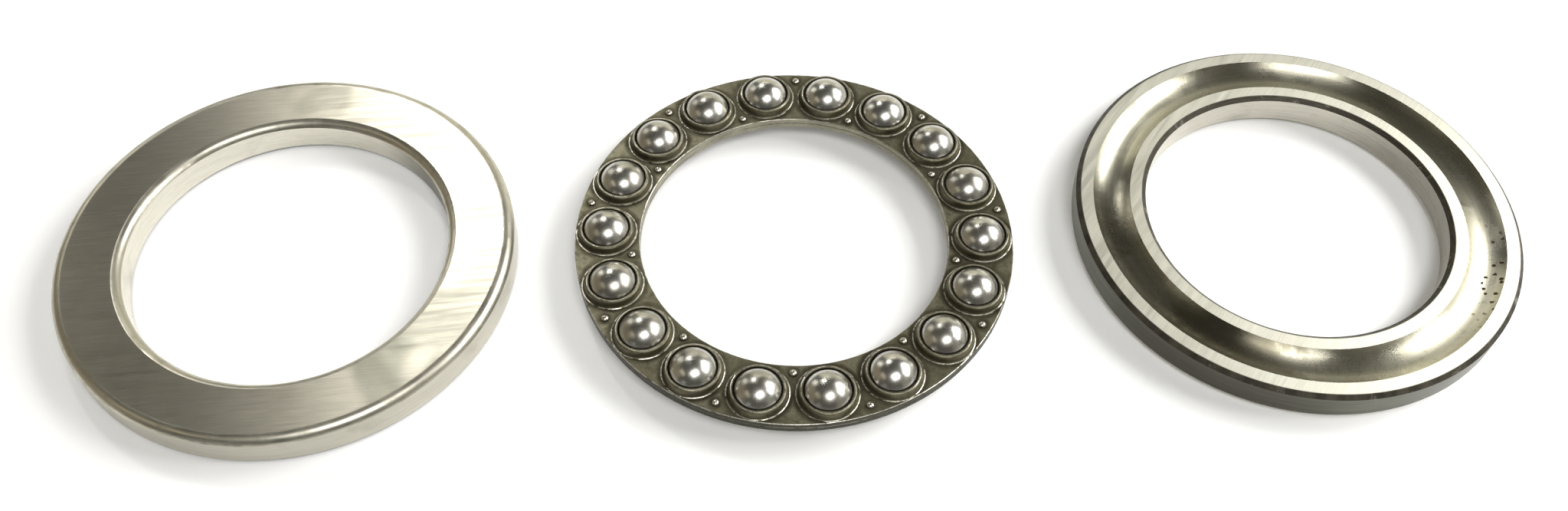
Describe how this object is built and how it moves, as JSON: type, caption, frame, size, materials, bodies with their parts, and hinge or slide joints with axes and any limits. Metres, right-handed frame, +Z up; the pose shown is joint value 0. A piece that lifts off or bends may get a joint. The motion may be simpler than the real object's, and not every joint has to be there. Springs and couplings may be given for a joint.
{
  "type": "thrust ball bearing",
  "caption": "Single direction thrust ball bearing laid out apart: housing washer, riveted cage with its balls, and grooved shaft washer.",
  "frame": {"origin": "the middle of the whole layout's box, in the plane of the bench that all three loose groups stand on: midway between the two washers' axes along X and 0.225 mm in front of them along Y", "axes": "+X from the housing washer towards the shaft washer, along the row; +Z up, parallel to the bearing's own axis; +Y to the far side. Every group has the attitude it has in the working stack, so the bearing is put together by translation alone: relative to the shaft washer's axis and back face, the cage's centre goes to 13.5 mm up and the housing washer's back face to 27 mm up."},
  "size_m": [0.36, 0.1104, 0.0127],
  "materials": {
    "washer_steel": "ground hardened bearing steel, lightly scratched, with a polished raceway",
    "cage_steel": "pressed mild steel, dull, with a stained brown-grey surface",
    "rivet_steel": "smooth domed steel heads, semi-bright",
    "ball_steel": "mirror-polished hardened steel"
  },
  "bodies": {
    "housing_washer": {"housing_washer": "washer_steel"},
    "shaft_washer": {"shaft_washer": "washer_steel"},
    "cage": {"cage_upper_plate": "cage_steel", "cage_lower_plate": "cage_steel", "cage_rivets_outer": "rivet_steel", "cage_rivets_inner": "rivet_steel"},
    "ball_01": {"ball_01": "ball_steel"},
    "ball_02": {"ball_02": "ball_steel"},
    "ball_03": {"ball_03": "ball_steel"},
    "ball_04": {"ball_04": "ball_steel"},
    "ball_05": {"ball_05": "ball_steel"},
    "ball_06": {"ball_06": "ball_steel"},
    "ball_07": {"ball_07": "ball_steel"},
    "ball_08": {"ball_08": "ball_steel"},
    "ball_09": {"ball_09": "ball_steel"},
    "ball_10": {"ball_10": "ball_steel"},
    "ball_11": {"ball_11": "ball_steel"},
    "ball_12": {"ball_12": "ball_steel"},
    "ball_13": {"ball_13": "ball_steel"},
    "ball_14": {"ball_14": "ball_steel"},
    "ball_15": {"ball_15": "ball_steel"},
    "ball_16": {"ball_16": "ball_steel"},
    "ball_17": {"ball_17": "ball_steel"},
    "ball_18": {"ball_18": "ball_steel"}
  },
  "joints": [
    {"name": "shaft_washer_spin", "type": "hinge", "parent": "housing_washer", "child": "shaft_washer", "pos_m": [0.125, 0.00022, 0.0045], "axis": [0, 0, 1], "continuous": true},
    {"name": "cage_orbit", "type": "hinge", "parent": "housing_washer", "child": "cage", "pos_m": [-0.0012, -0.00133, 0.00635], "axis": [0, 0, 1], "continuous": true},
    {"name": "ball_01_roll", "type": "hinge", "parent": "cage", "child": "ball_01", "pos_m": [0.0449, -0.00434, 0.00635], "axis": [0.9979, -0.0652, 0], "continuous": true},
    {"name": "ball_02_roll", "type": "hinge", "parent": "cage", "child": "ball_02", "pos_m": [0.04315, 0.01161, 0.00635], "axis": [0.96, 0.28, 0], "continuous": true},
    {"name": "ball_03_roll", "type": "hinge", "parent": "cage", "child": "ball_03", "pos_m": [0.03605, 0.026, 0.00635], "axis": [0.8063, 0.5915, 0], "continuous": true},
    {"name": "ball_04_roll", "type": "hinge", "parent": "cage", "child": "ball_04", "pos_m": [0.02446, 0.03709, 0.00635], "axis": [0.5554, 0.8316, 0], "continuous": true},
    {"name": "ball_05_roll", "type": "hinge", "parent": "cage", "child": "ball_05", "pos_m": [0.00977, 0.04355, 0.00635], "axis": [0.2375, 0.9714, 0], "continuous": true},
    {"name": "ball_06_roll", "type": "hinge", "parent": "cage", "child": "ball_06", "pos_m": [-0.00624, 0.0446, 0.00635], "axis": [-0.109, 0.994, 0], "continuous": true},
    {"name": "ball_07_roll", "type": "hinge", "parent": "cage", "child": "ball_07", "pos_m": [-0.02164, 0.04011, 0.00635], "axis": [-0.4424, 0.8968, 0], "continuous": true},
    {"name": "ball_08_roll", "type": "hinge", "parent": "cage", "child": "ball_08", "pos_m": [-0.03458, 0.03062, 0.00635], "axis": [-0.7225, 0.6914, 0], "continuous": true},
    {"name": "ball_09_roll", "type": "hinge", "parent": "cage", "child": "ball_09", "pos_m": [-0.04349, 0.01727, 0.00635], "axis": [-0.9154, 0.4026, 0], "continuous": true},
    {"name": "ball_10_roll", "type": "hinge", "parent": "cage", "child": "ball_10", "pos_m": [-0.0473, 0.00169, 0.00635], "axis": [-0.9979, 0.0652, 0], "continuous": true},
    {"name": "ball_11_roll", "type": "hinge", "parent": "cage", "child": "ball_11", "pos_m": [-0.04555, -0.01426, 0.00635], "axis": [-0.96, -0.28, 0], "continuous": true},
    {"name": "ball_12_roll", "type": "hinge", "parent": "cage", "child": "ball_12", "pos_m": [-0.03845, -0.02865, 0.00635], "axis": [-0.8063, -0.5915, 0], "continuous": true},
    {"name": "ball_13_roll", "type": "hinge", "parent": "cage", "child": "ball_13", "pos_m": [-0.02686, -0.03974, 0.00635], "axis": [-0.5554, -0.8316, 0], "continuous": true},
    {"name": "ball_14_roll", "type": "hinge", "parent": "cage", "child": "ball_14", "pos_m": [-0.01217, -0.0462, 0.00635], "axis": [-0.2375, -0.9714, 0], "continuous": true},
    {"name": "ball_15_roll", "type": "hinge", "parent": "cage", "child": "ball_15", "pos_m": [0.00384, -0.04725, 0.00635], "axis": [0.109, -0.994, 0], "continuous": true},
    {"name": "ball_16_roll", "type": "hinge", "parent": "cage", "child": "ball_16", "pos_m": [0.01924, -0.04276, 0.00635], "axis": [0.4424, -0.8968, 0], "continuous": true},
    {"name": "ball_17_roll", "type": "hinge", "parent": "cage", "child": "ball_17", "pos_m": [0.03218, -0.03327, 0.00635], "axis": [0.7225, -0.6914, 0], "continuous": true},
    {"name": "ball_18_roll", "type": "hinge", "parent": "cage", "child": "ball_18", "pos_m": [0.04109, -0.01992, 0.00635], "axis": [0.9154, -0.4026, 0], "continuous": true}
  ],
  "couplings": [
    {"joint": "cage_orbit", "follows": "shaft_washer_spin", "ratio": 0.5},
    {"joint": "ball_01_roll", "follows": "shaft_washer_spin", "ratio": 3.6378},
    {"joint": "ball_02_roll", "follows": "shaft_washer_spin", "ratio": 3.6378},
    {"joint": "ball_03_roll", "follows": "shaft_washer_spin", "ratio": 3.6378},
    {"joint": "ball_04_roll", "follows": "shaft_washer_spin", "ratio": 3.6378},
    {"joint": "ball_05_roll", "follows": "shaft_washer_spin", "ratio": 3.6378},
    {"joint": "ball_06_roll", "follows": "shaft_washer_spin", "ratio": 3.6378},
    {"joint": "ball_07_roll", "follows": "shaft_washer_spin", "ratio": 3.6378},
    {"joint": "ball_08_roll", "follows": "shaft_washer_spin", "ratio": 3.6378},
    {"joint": "ball_09_roll", "follows": "shaft_washer_spin", "ratio": 3.6378},
    {"joint": "ball_10_roll", "follows": "shaft_washer_spin", "ratio": 3.6378},
    {"joint": "ball_11_roll", "follows": "shaft_washer_spin", "ratio": 3.6378},
    {"joint": "ball_12_roll", "follows": "shaft_washer_spin", "ratio": 3.6378},
    {"joint": "ball_13_roll", "follows": "shaft_washer_spin", "ratio": 3.6378},
    {"joint": "ball_14_roll", "follows": "shaft_washer_spin", "ratio": 3.6378},
    {"joint": "ball_15_roll", "follows": "shaft_washer_spin", "ratio": 3.6378},
    {"joint": "ball_16_roll", "follows": "shaft_washer_spin", "ratio": 3.6378},
    {"joint": "ball_17_roll", "follows": "shaft_washer_spin", "ratio": 3.6378},
    {"joint": "ball_18_roll", "follows": "shaft_washer_spin", "ratio": 3.6378}
  ]
}
